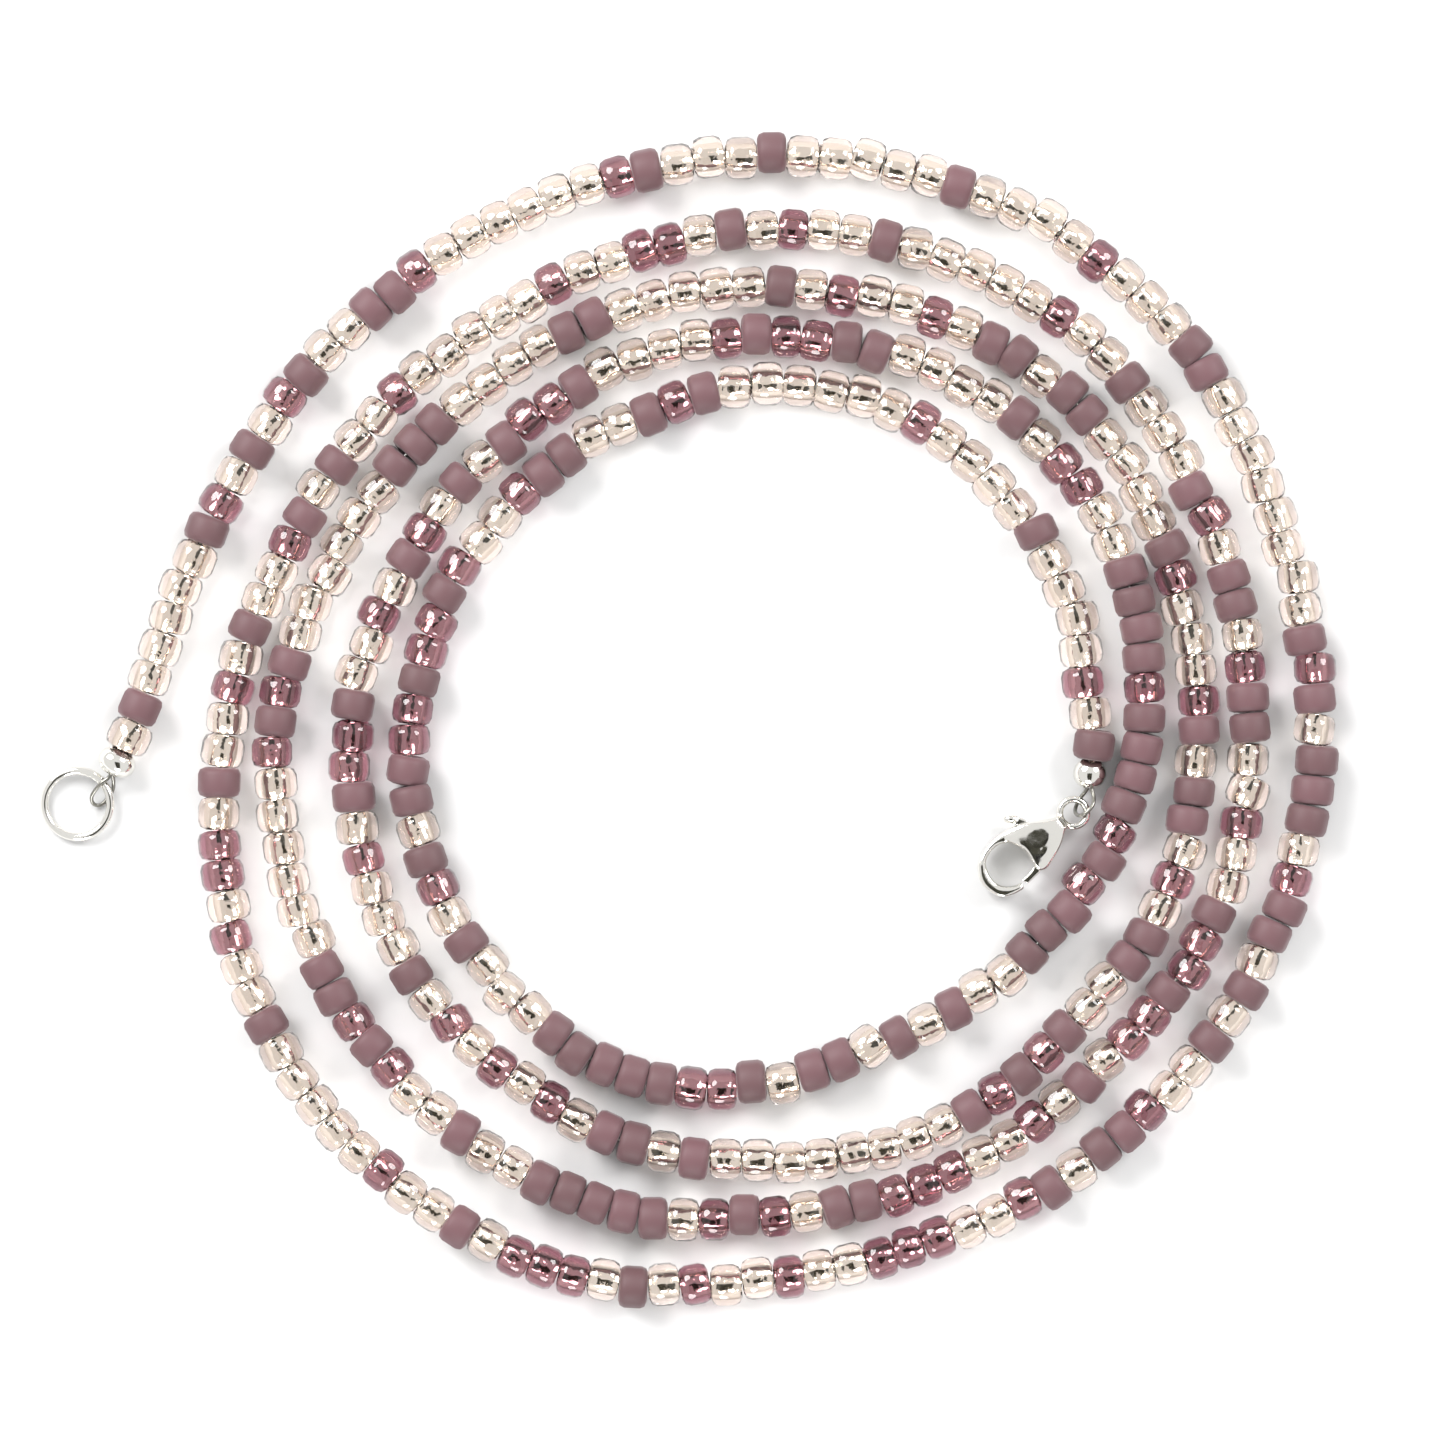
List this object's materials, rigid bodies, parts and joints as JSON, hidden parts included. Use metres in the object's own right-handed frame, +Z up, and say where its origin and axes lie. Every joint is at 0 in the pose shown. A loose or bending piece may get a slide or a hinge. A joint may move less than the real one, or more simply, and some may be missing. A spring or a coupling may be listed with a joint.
{
  "type": "eyeglass_retainer_strap",
  "caption": "Beaded eyeglass retainer: one strand of glass seed beads laid in a flat spiral, with a silver ring at one end and a silver lobster clasp at the other",
  "frame": {"origin": "middle of the footprint of the coiled strap, on the surface it lies on", "axes": "+Z up from the surface the strap lies on; +X towards the right side of the spiral with the end ring on the left; +Y towards its back"},
  "size_m": [0.0972, 0.0872, 0.003],
  "materials": {
    "silver_lined_rose_glass": "clear pale rose glass with a silver lining in the hole",
    "matte_mauve_glass": "opaque matte mauve glass",
    "silver_lined_plum_glass": "clear plum glass with a silver lining in the hole",
    "polished_silver": "polished silver plate",
    "beading_wire": "clear-coated stranded steel wire",
    "spring_steel": "bright drawn spring wire"
  },
  "bodies": {
    "strand": {"bead_run_01": "silver_lined_rose_glass", "bead_run_02": "matte_mauve_glass", "bead_run_03": "silver_lined_rose_glass", "bead_run_04": "silver_lined_plum_glass", "bead_run_05": "silver_lined_rose_glass", "bead_run_06": "matte_mauve_glass", "bead_run_07": "silver_lined_rose_glass", "bead_run_08": "silver_lined_plum_glass", "bead_run_09": "silver_lined_rose_glass", "bead_run_10": "matte_mauve_glass", "bead_run_11": "silver_lined_rose_glass", "bead_run_12": "silver_lined_plum_glass", "bead_run_13": "silver_lined_rose_glass", "bead_run_14": "matte_mauve_glass", "bead_run_15": "silver_lined_rose_glass", "bead_run_16": "silver_lined_plum_glass", "bead_run_17": "silver_lined_rose_glass", "bead_run_18": "matte_mauve_glass", "bead_run_19": "silver_lined_rose_glass", "bead_run_20": "silver_lined_plum_glass", "bead_run_21": "silver_lined_rose_glass", "bead_run_22": "matte_mauve_glass", "bead_run_23": "silver_lined_rose_glass", "bead_run_24": "silver_lined_plum_glass", "bead_run_25": "silver_lined_rose_glass", "bead_run_26": "matte_mauve_glass", "bead_run_27": "silver_lined_rose_glass", "bead_run_28": "silver_lined_plum_glass", "bead_run_29": "silver_lined_rose_glass", "bead_run_30": "matte_mauve_glass", "bead_run_31": "silver_lined_rose_glass", "bead_run_32": "silver_lined_plum_glass", "bead_run_33": "silver_lined_rose_glass", "bead_run_34": "matte_mauve_glass", "bead_run_35": "silver_lined_rose_glass", "bead_run_36": "silver_lined_plum_glass", "bead_run_37": "silver_lined_rose_glass", "bead_run_38": "matte_mauve_glass", "bead_run_39": "silver_lined_rose_glass", "bead_run_40": "silver_lined_plum_glass", "bead_run_41": "silver_lined_rose_glass", "beading_wire": "beading_wire", "ring_wire_loop": "beading_wire", "clasp_wire_loop": "beading_wire", "ring_crimp_tube": "polished_silver", "ring_crimp_cover": "polished_silver", "clasp_crimp_tube": "polished_silver", "clasp_crimp_cover": "polished_silver"},
    "end_ring": {"end_ring": "polished_silver"},
    "clasp": {"clasp_body": "polished_silver", "clasp_pin": "polished_silver", "clasp_spring": "spring_steel"},
    "clasp_lever": {"clasp_lever": "polished_silver"}
  },
  "joints": [
    {"name": "ring_swing", "type": "hinge", "parent": "strand", "child": "end_ring", "pos_m": [-0.04354, -0.00552, 0.00084], "axis": [-0.4226, 0.9063, 0], "range_deg": [0, 70]},
    {"name": "clasp_swing", "type": "hinge", "parent": "strand", "child": "clasp", "pos_m": [0.02983, -0.00665, 0.0013], "axis": [-0.5736, 0.8192, 0], "range_deg": [0, 60]},
    {"name": "clasp_lever_pivot", "type": "hinge", "parent": "clasp", "child": "clasp_lever", "pos_m": [0.02674, -0.01005, 0.0013], "axis": [0, 0, -1], "range_deg": [0, 28], "stiffness_Nm_per_rad": 0.004}
  ]
}
